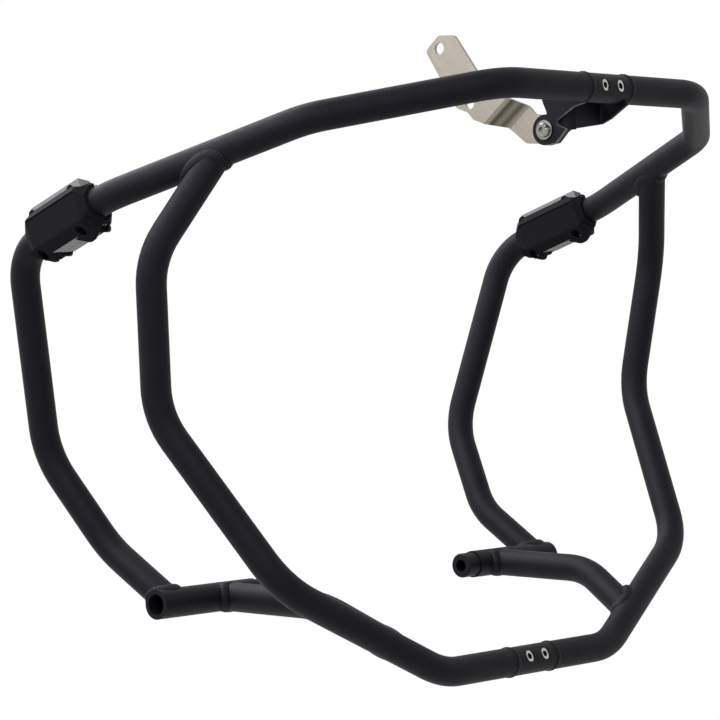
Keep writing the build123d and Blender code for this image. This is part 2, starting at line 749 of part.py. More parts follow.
def lugs():
    """Two lugs below a cap, their outer faces just inside its lower bevel, with a post round each screw."""
    section = Polyline(
        (LUG_INNER, LUG_TOP),
        (LUG_SHOULDER_OUT, LUG_TOP),
        (LUG_TIP_OUT, LUG_LOW),
        (LUG_INNER, LUG_LOW),
        close=True,
    )
    slab = extrude(Plane.YZ.offset(NECK_FRONT) * make_face(section), NECK_REAR - NECK_FRONT)
    room = clamp_block(offset(clamp_outline, CLAMP_GAP, kind=Kind.INTERSECTION), CLAMP_GAP)
    walls = Part()
    for corners in (LUG_FRONT, LUG_REAR):
        walls += slab & extrude(Plane.XZ * lug_outline(corners), -LUG_SHOULDER_OUT)
    posts = slab & pad_round(-PAD_SCREW_UP, LUG_RADIUS, PARTING_GAP, LUG_SHOULDER_OUT)
    posts += pad_round(-PAD_SCREW_UP, LUG_RADIUS, PARTING_GAP, LUG_TIP_OUT)
    return walls - room + posts


def nut_cover():
    """Cover with blind bosses above and nut pockets in its lugs below."""
    cover = cover_cap() + lugs()
    cover += pad_round(PAD_SCREW_UP, PAD_BOSS_RADIUS, PARTING_GAP, RIM_OUT + PAD_BOSS_SINK)
    cover -= pad_round(PAD_SCREW_UP, SCREW_HOLE_R, 0, PAD_SCREW_END + PAD_SCREW_SPARE)
    cover -= pad_round(-PAD_SCREW_UP, SCREW_HOLE_R, 0, LUG_NUT_SEAT)
    return cover - pad_round(-PAD_SCREW_UP, LUG_POCKET_RADIUS, LUG_NUT_SEAT, FACE_OUT)


def head_cover():
    """Cover of the other side with a pillar and a head recess for each screw."""
    cover = cover_cap()
    for up in SCREW_ROWS:
        cover += pad_round(up, PAD_PILLAR_RADIUS, PARTING_GAP, PAD_HEAD_SEAT)
        cover -= pad_round(up, SCREW_HOLE_R, 0, PAD_HEAD_SEAT)
        cover -= pad_round(up, PAD_HEAD / 2 + PAD_SCREW_PLAY, PAD_HEAD_SEAT, FACE_OUT)
    return OTHER_SIDE * cover


def pad_screws():
    """Four cap screws through a pad from the head side."""
    top = PAD_HEAD_SEAT + PAD_HEAD_HEIGHT
    screws = Part()
    for up in SCREW_ROWS:
        screws += pad_round(up, PAD_HEAD / 2, -top, -PAD_HEAD_SEAT)
        screws += pad_round(up, PAD_SCREW / 2, -PAD_HEAD_SEAT, PAD_SCREW_END)
        for station in SCREW_STATIONS:
            socket = Plane.XZ.offset(top) * Pos(station, up) * hexagon(PAD_HEAD_HEX)
            screws -= extrude(socket, -PAD_HEAD_HEIGHT / 2)
    return group(screws)


def pad_nuts():
    """Nut on the end of each lower screw."""
    nut = Rot(0, 0, 90) * hex_nut(PAD_NUT_FLATS, PAD_NUT_HEIGHT, PAD_SCREW + 2 * SLIP)
    return group(*[Pos(station, LUG_NUT_SEAT, -PAD_SCREW_UP) * nut for station in SCREW_STATIONS])


def pad_nodes(side, across, hoop_room, hoop_seat):
    """Covers, clamps, screws and nuts of one pad, by node name."""
    frame = pad_frame(across)
    facing_right = "outer" if across < 0 else "inner"
    facing_left = "inner" if across < 0 else "outer"
    return {
        f"{side}_pad_{facing_right}_cover": frame * nut_cover() - hoop_room,
        f"{side}_pad_{facing_left}_cover": frame * head_cover() - hoop_room,
        f"{side}_pad_{facing_right}_clamp": frame * nut_clamp() - hoop_seat,
        f"{side}_pad_{facing_left}_clamp": frame * head_clamp() - hoop_seat,
        f"{side}_pad_screws": frame * pad_screws(),
        f"{side}_pad_nuts": frame * pad_nuts(),
    }


# Nodes of the whole assembly
left_half = {
    "hoop_tube": hoop_tube,
    "front_tube": front_tube,
    "cross_tube": cross_tube,
    "mount_boss": mount_boss(),
    "boss_bush": boss_bush(),
    "weld_beads": weld_beads(),
}
nodes = {f"left_{name}": piece for name, piece in left_half.items()}
nodes |= {f"right_{name}": mirror(piece, MIRROR) for name, piece in left_half.items()}

pad_room = bar(hoop_path, TUBE_R + PAD_BORE_GAP)
pad_seat = bar(hoop_path, TUBE_R + SLIP)
nodes |= pad_nodes("left", 1, pad_room, pad_seat)
nodes |= pad_nodes("right", -1, mirror(pad_room, MIRROR), mirror(pad_seat, MIRROR))

for name, joint, tilt in (
    ("top", TOP_JOINT, TOP_SCREW_TILT),
    ("bottom", BOTTOM_JOINT, BOTTOM_SCREW_TILT),
):
    nodes[f"{name}_joint_socket"] = joint_socket(joint, tilt)
    nodes[f"{name}_joint_spigot"] = joint_spigot(joint, tilt)
    nodes[f"{name}_joint_screws"] = joint_screws(joint, tilt)

nodes |= {
    "bracket_front_plate": front_plate(),
    "bracket_rear_plate": rear_plate(),
    "stay_strap": stay_strap(),
    "bracket_bolt": bracket_bolt(),
    "bracket_washer": bracket_washer(),
    "bracket_nut": bracket_nut(),
}

os.makedirs("parts", exist_ok=True)
for name, piece in nodes.items():
    export_step(piece, f"parts/{name}.step")
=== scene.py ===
"""Looks of the crash bars: a finish for every piece, rippled weld seams, flush screws, a studio and a camera.

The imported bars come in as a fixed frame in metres, X across to the rider's left, Y to the rear and Z up.
Sizes in this file are millimetres, and one factor turns them into metres.
"""

import logging
import math
from dataclasses import dataclass
from enum import Enum

import bpy
from bpy.types import Material, Node, NodeSocket, NodeTree, Object
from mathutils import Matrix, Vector


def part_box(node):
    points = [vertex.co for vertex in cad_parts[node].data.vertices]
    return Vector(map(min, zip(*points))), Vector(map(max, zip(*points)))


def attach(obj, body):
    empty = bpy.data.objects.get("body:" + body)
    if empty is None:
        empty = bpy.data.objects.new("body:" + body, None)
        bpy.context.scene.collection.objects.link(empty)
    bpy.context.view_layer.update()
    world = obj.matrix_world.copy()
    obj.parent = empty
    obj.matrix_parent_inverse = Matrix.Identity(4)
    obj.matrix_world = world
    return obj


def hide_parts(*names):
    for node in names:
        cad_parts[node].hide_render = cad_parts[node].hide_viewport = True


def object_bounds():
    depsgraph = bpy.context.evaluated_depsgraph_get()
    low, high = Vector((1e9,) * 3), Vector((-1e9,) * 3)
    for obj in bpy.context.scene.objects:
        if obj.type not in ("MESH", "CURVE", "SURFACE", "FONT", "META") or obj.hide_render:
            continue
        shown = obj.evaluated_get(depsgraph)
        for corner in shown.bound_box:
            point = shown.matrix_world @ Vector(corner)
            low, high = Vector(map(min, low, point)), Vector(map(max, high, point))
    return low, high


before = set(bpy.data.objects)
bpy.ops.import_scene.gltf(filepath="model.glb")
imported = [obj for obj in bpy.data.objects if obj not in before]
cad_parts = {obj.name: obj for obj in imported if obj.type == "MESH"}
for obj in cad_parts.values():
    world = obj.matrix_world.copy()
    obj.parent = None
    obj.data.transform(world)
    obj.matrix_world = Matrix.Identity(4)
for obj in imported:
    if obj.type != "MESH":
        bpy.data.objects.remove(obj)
CAD_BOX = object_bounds()

logging.basicConfig(level=logging.INFO, format="%(message)s")
LOG = logging.getLogger("crash_bars")

MM = 0.001
BODY = "root"
WHITE = "#ffffff"
TORUS_LIMIT = 256

Place = tuple[float, float, float]


class Side(Enum):
    """Half of the bars, by the rider's hand."""

    LEFT = "left"
    RIGHT = "right"


@dataclass(frozen=True)
class Joint:
    """Split joint on the middle line: its middle, and how far its screws lean up from straight ahead."""

    name: str
    middle: Place
    lean: float

    def outward(self) -> Vector:
        """Gives the way that the screw heads face."""
        lean = math.radians(self.lean)
        return Vector((0.0, -math.cos(lean), math.sin(lean)))


JOINTS = (
    Joint("top", (0.0, -284.0, 466.0), 11.0),
    Joint("bottom", (0.0, -200.0, -61.0), 25.0),
)


def linear(code: str) -> tuple[float, float, float, float]:
    """Turns an sRGB hex code into a linear colour.

    Args:
        code: Six hex digits after a hash sign.

    Returns:
        Red, green, blue and an alpha of one.
    """
    levels = [int(code[at:at + 2], 16) / 255 for at in (1, 3, 5)]
    red, green, blue = [c / 12.92 if c <= 0.04045 else ((c + 0.055) / 1.055) ** 2.4 for c in levels]
    return red, green, blue, 1.0


def per_metre(size: float) -> float:
    """Gives the scale of a pattern whose features are a size in millimetres."""
    return 1 / (size * MM)


def add_node(
    tree: NodeTree,
    kind: str,
    settings: dict | None = None,
    links: dict | None = None,
) -> Node:
    """Adds one node to a tree.

    Args:
        tree: Tree that takes the node.
        kind: Type name of the node.
        settings: Properties of the node, or values of its inputs, by name or number.
        links: Output sockets, by the name or number of the input that each one feeds.

    Returns:
        The new node.
    """
    node = tree.nodes.new(kind)
    for name, value in (settings or {}).items():
        if isinstance(name, str) and hasattr(node, name):
            setattr(node, name, value)
        else:
            node.inputs[name].default_value = value
    for name, socket in (links or {}).items():
        tree.links.new(socket, node.inputs[name])
    return node


@dataclass(frozen=True)
class Finish:
    """Surface finish of a piece, made as one node material.

    The colour runs from deep to pale and the roughness from smooth to dull. The relief is a height.
    """

    name: str
    deep: str
    pale: str
    smooth: float
    dull: float
    relief: float

    def material(self) -> Material:
        """Makes the material of this finish."""
        material = bpy.data.materials.new(self.name)
        material.use_nodes = True
        tree = material.node_tree
        shader = tree.nodes["Principled BSDF"]
        place = add_node(tree, "ShaderNodeTexCoord").outputs["Object"]
        self.surface(tree, shader, place)
        return material

    def surface(self, tree: NodeTree, shader: Node, place: NodeSocket) -> None:
        """Sets the shader and links its patterns.

        Args:
            tree: Node tree of the material.
            shader: The material's main shader.
            place: Socket with the object's coordinates.
        """
        raise NotImplementedError

    def tone(self, tree: NodeTree, pattern: NodeSocket) -> NodeSocket:
        """Spreads a pattern over the finish's colours.

        Args:
            tree: Node tree of the material.
            pattern: Socket with values from zero to one.

        Returns:
            Socket with the colour.
        """
        ramp = add_node(tree, "ShaderNodeValToRGB", links={"Fac": pattern})
        ramp.color_ramp.elements[0].color = linear(self.deep)
        ramp.color_ramp.elements[1].color = linear(self.pale)
        return ramp.outputs["Color"]

    def texture(self, tree: NodeTree, shader: Node, gloss: NodeSocket, height: NodeSocket) -> None:
        """Links one pattern to the roughness and one to the normal.

        Args:
            tree: Node tree of the material.
            shader: The material's main shader.
            gloss: Socket with the pattern of smooth and dull.
            height: Socket with the pattern of the relief.
        """
        rough = add_node(
            tree,
            "ShaderNodeMapRange",
            {"To Min": self.smooth, "To Max": self.dull},
            {"Value": gloss},
        )
        bump = add_node(
            tree,
            "ShaderNodeBump",
            {"Strength": 1.0, "Distance": self.relief * MM},
            {"Height": height},
        )
        tree.links.new(rough.outputs["Result"], shader.inputs["Roughness"])
        tree.links.new(bump.outputs["Normal"], shader.inputs["Normal"])


@dataclass(frozen=True)
class PowderCoat(Finish):
    """Polyester powder baked on steel: a satin black skin with a fine orange peel and soft clouds of tone."""

    deep: str = "#09080b"
    pale: str = "#131117"
    smooth: float = 0.48
    dull: float = 0.62
    relief: float = 0.02
    cloud: float = 45.0
    gloss_patch: float = 5.0
    peel: float = 1.3
    reflection: float = 0.12
    reflection_tint: str = "#f0ecff"

    def coat(self, tree: NodeTree, place: NodeSocket) -> NodeSocket:
        """Colours the coat in soft clouds.

        Args:
            tree: Node tree of the material.
            place: Socket with the object's coordinates.

        Returns:
            Socket with the colour.
        """
        cloud = add_node(
            tree,
            "ShaderNodeTexNoise",
            {"Scale": per_metre(self.cloud), "Detail": 3.0},
            {"Vector": place},
        )
        return self.tone(tree, cloud.outputs["Fac"])

    def surface(self, tree: NodeTree, shader: Node, place: NodeSocket) -> None:
        """Links clouds to the colour, patches to the roughness and the peel to the normal."""
        patch = add_node(
            tree,
            "ShaderNodeTexNoise",
            {"Scale": per_metre(self.gloss_patch), "Detail": 2.0},
            {"Vector": place},
        )
        peel = add_node(
            tree,
            "ShaderNodeTexNoise",
            {"Scale": per_metre(self.peel), "Detail": 2.0, "Roughness": 0.6},
            {"Vector": place},
        )
        shader.inputs["Specular IOR Level"].default_value = self.reflection
        shader.inputs["Specular Tint"].default_value = linear(self.reflection_tint)
        tree.links.new(self.coat(tree, place), shader.inputs["Base Color"])
        self.texture(tree, shader, patch.outputs["Fac"], peel.outputs["Fac"])


@dataclass(frozen=True)
class PlateCoatPaintedEdgeHighlight(PowderCoat):
    """Powder coat on a plate cut flat across X, with a painted highlight: its rim faces are painted paler."""

    # Colour of the painted highlight on the rim faces.
    painted_edge_highlight: str = "#77757a"
    edge_below: float = 0.3
    flat_above: float = 0.6

    def coat(self, tree: NodeTree, place: NodeSocket) -> NodeSocket:
        """Mixes a painted highlight, the paler colour, in on faces that turn away from X."""
        flat = super().coat(tree, place)
        facing = add_node(tree, "ShaderNodeTexCoord").outputs["Normal"]
        parts = add_node(tree, "ShaderNodeSeparateXYZ", links={0: facing})
        across = add_node(tree, "ShaderNodeMath", {"operation": "ABSOLUTE"}, {0: parts.outputs["X"]})
        lit_edge_share = add_node(
            tree,
            "ShaderNodeMapRange",
            {"From Min": self.edge_below, "From Max": self.flat_above, "To Min": 1.0, "To Max": 0.0},
            {"Value": across.outputs[0]},
        )
        # The paler colour is a painted highlight, standing in for light caught by the rim faces.
        mix = add_node(
            tree,
            "ShaderNodeMix",
            {"data_type": "RGBA", 7: linear(self.painted_edge_highlight)},
            {0: lit_edge_share.outputs["Result"], 6: flat},
        )
        return mix.outputs[2]


@dataclass(frozen=True)
class MouldedPlastic(Finish):
    """Glass-filled nylon from a spark-eroded mould: a dry, pebbled skin that dulls every reflection.

    The pebble is drawn coarser than the mould's own, so that it shows.
    """

    deep: str = "#0c0b0e"
    pale: str = "#161519"
    smooth: float = 0.68
    dull: float = 0.84
    relief: float = 0.03
    pebble: float = 0.9
    reflection: float = 0.06

    def surface(self, tree: NodeTree, shader: Node, place: NodeSocket) -> None:
        """Links one pebble pattern to the colour, the roughness and the normal."""
        pebble = add_node(
            tree,
            "ShaderNodeTexVoronoi",
            {"feature": "SMOOTH_F1", "Scale": per_metre(self.pebble)},
            {"Vector": place},
        )
        pit = pebble.outputs["Distance"]
        rise = add_node(tree, "ShaderNodeMath", {"operation": "SUBTRACT", 0: 1.0}, {1: pit}).outputs[0]
        shader.inputs["Specular IOR Level"].default_value = self.reflection
        tree.links.new(self.tone(tree, rise), shader.inputs["Base Color"])
        self.texture(tree, shader, pit, rise)


@dataclass(frozen=True)
class RolledStainless(Finish):
    """Stainless strip as rolled: pale warm metal with faint streaks along the strip and soft reflections.

    Across the crank, two dark stripes with a bright one between are painted shade and a painted highlight,
    where the bends turn from the light. The streaks are drawn wider than the rolls leave them, so that they
    show.
    """

    deep: str = "#857f76"
    pale: str = "#9d978e"
    smooth: float = 0.26
    dull: float = 0.40
    relief: float = 0.004
    streak_length: float = 40.0
    streak_width: float = 0.8
    slope: float = 45.0
    crank_from: float = 0.0
    crank_length: float = 14.0
    # Stops of painted shade, a painted highlight and painted shade again, by share of the crank's length.
    painted_crank_light_stops: tuple[tuple[float, str], ...] = (
        (0.0, WHITE),
        (0.25, "#8f8d88"),
        (0.5, "#d2d0ca"),
        (0.78, "#7d7a74"),
        (0.95, WHITE),
    )

    def paint_crank_light(self, tree: NodeTree, along: NodeSocket) -> NodeSocket:
        """Paints shade and a highlight in stripes across the crank, and leaves the rest of the strip white.

        Args:
            tree: Node tree of the material.
            along: Socket with the place along the strip.

        Returns:
            Socket with the colour that multiplies the metal's.
        """
        share = add_node(
            tree,
            "ShaderNodeMapRange",
            {"From Min": self.crank_from * MM, "From Max": (self.crank_from + self.crank_length) * MM},
            {"Value": along},
        )
        ramp = add_node(tree, "ShaderNodeValToRGB", links={"Fac": share.outputs["Result"]})
        stops = ramp.color_ramp.elements
        for number, (position, colour) in enumerate(self.painted_crank_light_stops):
            stop = stops[number] if number < len(stops) else stops.new(position)
            stop.position = position
            stop.color = linear(colour)
        return ramp.outputs["Color"]

    def surface(self, tree: NodeTree, shader: Node, place: NodeSocket) -> None:
        """Links streaks along the strip to the colour, the roughness and the normal."""
        turned = add_node(
            tree,
            "ShaderNodeMapping",
            {"Rotation": (math.radians(-self.slope), 0.0, 0.0)},
            {"Vector": place},
        )
        drawn = add_node(
            tree,
            "ShaderNodeMapping",
            {"Scale": (1.0, self.streak_width / self.streak_length, 1.0)},
            {"Vector": turned.outputs["Vector"]},
        )
        streak = add_node(
            tree,
            "ShaderNodeTexNoise",
            {"Scale": per_metre(self.streak_width), "Detail": 3.0},
            {"Vector": drawn.outputs["Vector"]},
        ).outputs["Fac"]
        parts = add_node(tree, "ShaderNodeSeparateXYZ", links={0: turned.outputs["Vector"]})
        # The crank's painted shade and highlight multiply the metal's colour.
        metal = add_node(
            tree,
            "ShaderNodeMix",
            {"data_type": "RGBA", "blend_type": "MULTIPLY", "Factor": 1.0},
            {6: self.tone(tree, streak), 7: self.paint_crank_light(tree, parts.outputs["Y"])},
        )
        shader.inputs["Metallic"].default_value = 1.0
        tree.links.new(metal.outputs[2], shader.inputs["Base Color"])
        self.texture(tree, shader, streak, streak)


@dataclass(frozen=True)
class PlatedSteel(Finish):
    """Plated steel fastener: metal with a fine mottled skin, bright in zinc and near black in oxide."""

    deep: str = "#74736f"
    pale: str = "#a19f9b"
    smooth: float = 0.14
    dull: float = 0.26
    relief: float = 0.006
    mottle: float = 1.5

    def surface(self, tree: NodeTree, shader: Node, place: NodeSocket) -> None:
        """Links one mottle to the colour, the roughness and the normal."""
        mottle = add_node(
            tree,
            "ShaderNodeTexNoise",
            {"Scale": per_metre(self.mottle), "Detail": 3.0},
            {"Vector": place},
        ).outputs["Fac"]
        shader.inputs["Metallic"].default_value = 1.0
        tree.links.new(self.tone(tree, mottle), shader.inputs["Base Color"])
        self.texture(tree, shader, mottle, mottle)


def dress(node: str, material: Material) -> None:
    """Gives a CAD node one material all over.

    Args:
        node: Name of the node.
        material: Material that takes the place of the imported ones.
    """
    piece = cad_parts[node]
    piece.data.materials.clear()
    piece.data.materials.append(material)
    LOG.info("%s: %s", node, material.name)


def turn_faces_out() -> None:
    """Turns all faces of the active object outward."""
    bpy.ops.object.mode_set(mode="EDIT")
    bpy.ops.mesh.select_all(action="SELECT")
    bpy.ops.mesh.normals_make_consistent(inside=False)
    bpy.ops.object.mode_set(mode="OBJECT")


def join(parts: list[Object], name: str) -> Object:
    """Joins new objects into one piece that sits at the origin.

    Args:
        parts: Objects to join.
        name: Name of the piece.

    Returns:
        The piece, active and alone in the selection.
    """
    bpy.ops.object.select_all(action="DESELECT")
    for part in parts:
        part.select_set(True)
    bpy.context.view_layer.objects.active = parts[0]
    bpy.ops.object.transform_apply(location=True, rotation=True, scale=True)
    bpy.ops.object.join()
    piece = bpy.context.object
    piece.name = name
    return piece


@dataclass(frozen=True)
class Station:
    """One stop along a weld seam: the root, the place of each toe and the way out of the metal."""

    root: Vector
    first_toe: Vector
    second_toe: Vector
    outward: Vector


@dataclass(frozen=True)
class WeldBead:
    """Fillet weld laid as a row of overlapping ripples."""

    crown: float = 1.3
    ripple_depth: float = 0.5
    ripple_fullness: float = 0.7
    toe_fade: float = 0.5
    scallop: float = 0.55
    bow: float = 0.5
    root_sink: float = 0.8
    face_points: int = 9

    def section(self, station: Station, phase: float) -> list[Vector]:
        """Shapes the ring of points at one station.

        Args:
            station: Root and toes of the seam there, in metres.
            phase: Place along the seam in ripples.

        Returns:
            Points over the face from the first toe to the second, and back below the root.
        """
        span = station.second_toe - station.first_toe
        points = []
        for index in range(self.face_points):
            share = index / (self.face_points - 1)
            arch = math.sin(math.pi * share)
            swell = abs(math.cos(math.pi * (phase - self.bow * arch))) ** self.ripple_fullness
            draw_in = (1 - swell) * self.scallop * MM * (2 * share - 1)
            height = self.crown * arch - self.ripple_depth * (1 - swell) * arch ** self.toe_fade
            place = station.first_toe + span * share - span.normalized() * draw_in
            points.append(place + station.outward * height * MM)
        below = station.root - station.outward * self.root_sink * MM
        points.append(station.second_toe.lerp(below, 0.5))
        points.append(below)
        points.append(station.first_toe.lerp(below, 0.5))
        return points

    def lay(self, name: str, stations: list[Station], ripples: int) -> Object:
        """Models the bead on a closed row of stations.

        Args:
            name: Name of the new object.
            stations: Stops round the seam, no more than a torus can have.
            ripples: Number of ripples round the seam.

        Returns:
            The bead, a closed ring of faces.
        """
        count = len(stations)
        if count > TORUS_LIMIT:
            raise ValueError(f"{name} has {count} stations, more than {TORUS_LIMIT}")
        rings = [self.section(stop, ripples * at / count) for at, stop in enumerate(stations)]
        bpy.ops.object.select_all(action="DESELECT")
        bpy.ops.mesh.primitive_torus_add(major_segments=count, minor_segments=len(rings[0]))
        bead = bpy.context.object
        bead.name = name
        places = [value for ring in rings for point in ring for value in point]
        bead.data.vertices.foreach_set("co", places)
        bead.data.update()
        turn_faces_out()
        bpy.ops.object.shade_smooth()
        return bead


@dataclass(frozen=True)
class Branch:
    """Tube end that sits on the side of another tube of the same diameter."""

    name: str
    root: Vector
    branch: Vector
    carrier: Vector

    def across(self) -> Vector:
        """Gives the way square to both tubes."""
        return self.branch.cross(self.carrier).normalized()

    def out_of(self, way: Vector, point: Vector) -> Vector:
        """Gives the way out to a point, square to the tube that runs along a way through the root."""
        reach = point - self.root
        return (reach - way * reach.dot(way)).normalized()


@dataclass
class TubeFrame:
    """The bent tubes, bosses and bushes, with the weld seams that join them."""

    tube_radius: float = 13.5
    shoulder: Place = (290.0, -186.0, 432.0)
    pad_front: Place = (359.0, -12.0, 366.0)
    branch_from_shoulder: float = 87.0
    chest: Place = (368.0, -75.0, 313.0)
    hoop_foot: Place = (269.0, 0.0, 0.0)
    ankle: Place = (273.0, 75.0, 45.0)
    cross_foot: Place = (199.0, 0.0, 0.0)
    cross_bend: Place = (198.0, -118.0, 1.0)
    knee: Place = (292.0, -160.0, 27.0)
    bottom_corner: Place = (123.0, -200.0, -61.0)
    cross_from_corner: float = 61.0
    joint_half: float = 30.0
    leg: float = 5.4
    toe_sink: float = 0.25
    ring_half: float = 3.6
    ripple: float = 2.8
    steps_per_ripple: int = 5
    trace_steps: int = 360
    rounding_passes: int = 900

    def dress(self) -> None:
        """Coats the tubes and bosses, and finishes the turned bushes."""
        coat = PowderCoat("powder_coated_tube").material()
        turned = PowderCoat("coated_bush", peel=0.8, relief=0.012, smooth=0.42, dull=0.54).material()
        for side in Side:
            for piece in ("hoop_tube", "front_tube", "cross_tube", "mount_boss"):
                dress(f"{side.value}_{piece}", coat)
            dress(f"{side.value}_boss_bush", turned)

    def branches(self) -> list[Branch]:
        """Lists the branches of the left half, in metres."""
        along_hoop = (Vector(self.pad_front) - Vector(self.shoulder)).normalized()
        along_front = (Vector(self.knee) - Vector(self.bottom_corner)).normalized()
        along_boss = Vector((1.0, 0.0, 0.0))
        at_hoop = Vector(self.shoulder) + along_hoop * self.branch_from_shoulder
        at_front = Vector(self.bottom_corner) + along_front * self.cross_from_corner
        rows = (
            ("hoop_branch", at_hoop, Vector(self.chest), along_hoop),
            ("hoop_foot", Vector(self.hoop_foot), Vector(self.ankle), along_boss),
            ("cross_foot", Vector(self.cross_foot), Vector(self.cross_bend), along_boss),
            ("cross_branch", at_front, Vector(self.cross_bend), along_front),
        )
        return [Branch(name, root * MM, (end - root).normalized(), way) for name, root, end, way in rows]

    def trace(self, seam: Branch) -> list[Vector]:
        """Traces the two half ellipses where a branch meets its carrier, as one closed line."""
        radius = self.tube_radius * MM
        across = seam.across()
        line = []
        for way, start in ((seam.carrier, 1), (-seam.carrier, -1)):
            toward = (seam.branch + way).normalized()
            reach = radius / math.sin(seam.branch.angle(way) / 2)
            for step in range(self.trace_steps):
                turn = math.pi * step / self.trace_steps
                rise = toward * reach * math.sin(turn)
                line.append(seam.root + rise + across * radius * start * math.cos(turn))
        return line

    def spaced(self, line: list[Vector]) -> list[Vector]:
        """Spaces stops evenly along a closed line, so that whole ripples fill it.

        Args:
            line: Points of the line.

        Returns:
            Stops on the line, the same number for each ripple.
        """
        lengths = [(line[at] - line[at - 1]).length for at in range(len(line))]
        lap = sum(lengths)
        count = round(lap / (self.ripple * MM)) * self.steps_per_ripple
        stops = []
        walked = 0.0
        at = 1
        for index in range(count):
            goal = lap * index / count
            while walked + lengths[at % len(line)] < goal:
                walked += lengths[at % len(line)]
                at += 1
            share = (goal - walked) / lengths[at % len(line)]
            stops.append(line[at - 1].lerp(line[at % len(line)], share))
        return stops

    def saddle(self, seam: Branch) -> list[Vector]:
        """Lays out the line of a branch's weld.

        Args:
            seam: The branch.

        Returns:
            Stops round the closed line, its two sharp tips rounded as a welder rounds them.
        """
        sharp = self.spaced(self.trace(seam))
        count = len(sharp)
        soft = sharp
        for _ in range(self.rounding_passes):
            soft = [(soft[at - 1] + soft[at] * 2 + soft[(at + 1) % count]) / 4 for at in range(count)]
        across = seam.across()
        radius = self.tube_radius * MM
        nearness = [abs((point - seam.root).dot(across)) / radius for point in sharp]
        return [point.lerp(soft[at], nearness[at] ** 2) for at, point in enumerate(sharp)]

    def on_tube(self, seam: Branch, way: Vector, point: Vector, sink: float) -> Vector:
        """Puts a point on the skin of the tube that runs along a way through a seam's root.

        Args:
            seam: The branch.
            way: Way of the tube.
            point: Point near the skin, in metres.
            sink: Depth below the skin.

        Returns:
            The point on the tube.
        """
        foot = seam.root + way * (point - seam.root).dot(way)
        return foot + seam.out_of(way, point) * (self.tube_radius - sink) * MM

    def on_skin(self, seam: Branch, point: Vector) -> Vector:
        """Puts a point on whichever of a seam's two tubes stands further out there."""
        across = seam.across()
        places = [self.on_tube(seam, way, point, 0.0) for way in (seam.carrier, seam.branch)]
        return max(places, key=lambda place: abs((place - seam.root).dot(across)))

    def branch_seam(self, bead: WeldBead, seam: Branch) -> Object:
        """Lays the bead round one branch.

        Args:
            bead: Form of the bead.
            seam: The branch.

        Returns:
            The new bead.
        """
        points = [self.on_skin(seam, point) for point in self.saddle(seam)]
        count = len(points)
        leg = self.leg * MM
        stations = []
        for at, point in enumerate(points):
            run = (points[(at + 1) % count] - points[at - 1]).normalized()
            carrier_out = seam.out_of(seam.carrier, point)
            branch_out = seam.out_of(seam.branch, point)
            onto_carrier = point + carrier_out.cross(run) * leg
            onto_branch = point + run.cross(branch_out) * leg
            first = self.on_tube(seam, seam.carrier, onto_carrier, self.toe_sink)
            second = self.on_tube(seam, seam.branch, onto_branch, self.toe_sink)
            outward = (carrier_out + branch_out).normalized()
            stations.append(Station(point, first, second, outward))
        return bead.lay(seam.name, stations, count // self.steps_per_ripple)

    def ring_seam(self, bead: WeldBead, joint: Joint) -> Object:
        """Lays the bead round the left end of a split joint.

        Args:
            bead: Form of the bead.
            joint: The joint.

        Returns:
            The new bead.
        """
        centre = (Vector(joint.middle) + Vector((self.joint_half, 0.0, 0.0))) * MM
        half = Vector((self.ring_half * MM, 0.0, 0.0))
        ripples = round(2 * math.pi * self.tube_radius / self.ripple)
        count = ripples * self.steps_per_ripple
        stations = []
        for at in range(count):
            turn = 2 * math.pi * at / count
            outward = Vector((0.0, math.cos(turn), math.sin(turn)))
            root = centre + outward * self.tube_radius * MM
            low = root - outward * self.toe_sink * MM
            stations.append(Station(root, low - half, low + half, outward))
        return bead.lay(f"{joint.name}_ring", stations, ripples)

    def build_seams(self) -> None:
        """Models the weld seams of both halves in place of the plain beads."""
        coat = PowderCoat("coated_weld", peel=0.9, relief=0.015, smooth=0.46, dull=0.58).material()
        bead = WeldBead()
        for side in Side:
            seams = [self.branch_seam(bead, seam) for seam in self.branches()]
            seams += [self.ring_seam(bead, joint) for joint in JOINTS]
            piece = join(seams, f"{side.value}_weld_seams")
            piece.data.materials.clear()
            piece.data.materials.append(coat)
            if side is Side.RIGHT:
                self.mirror(piece)
            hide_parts(f"{side.value}_weld_beads")
            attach(piece, BODY)
            LOG.info("%s: %d faces", piece.name, len(piece.data.polygons))

    @staticmethod
    def mirror(piece: Object) -> None:
        """Turns the active left piece into a right one, with its faces outward."""
        for vertex in piece.data.vertices:
            vertex.co.x = -vertex.co.x
        turn_faces_out()


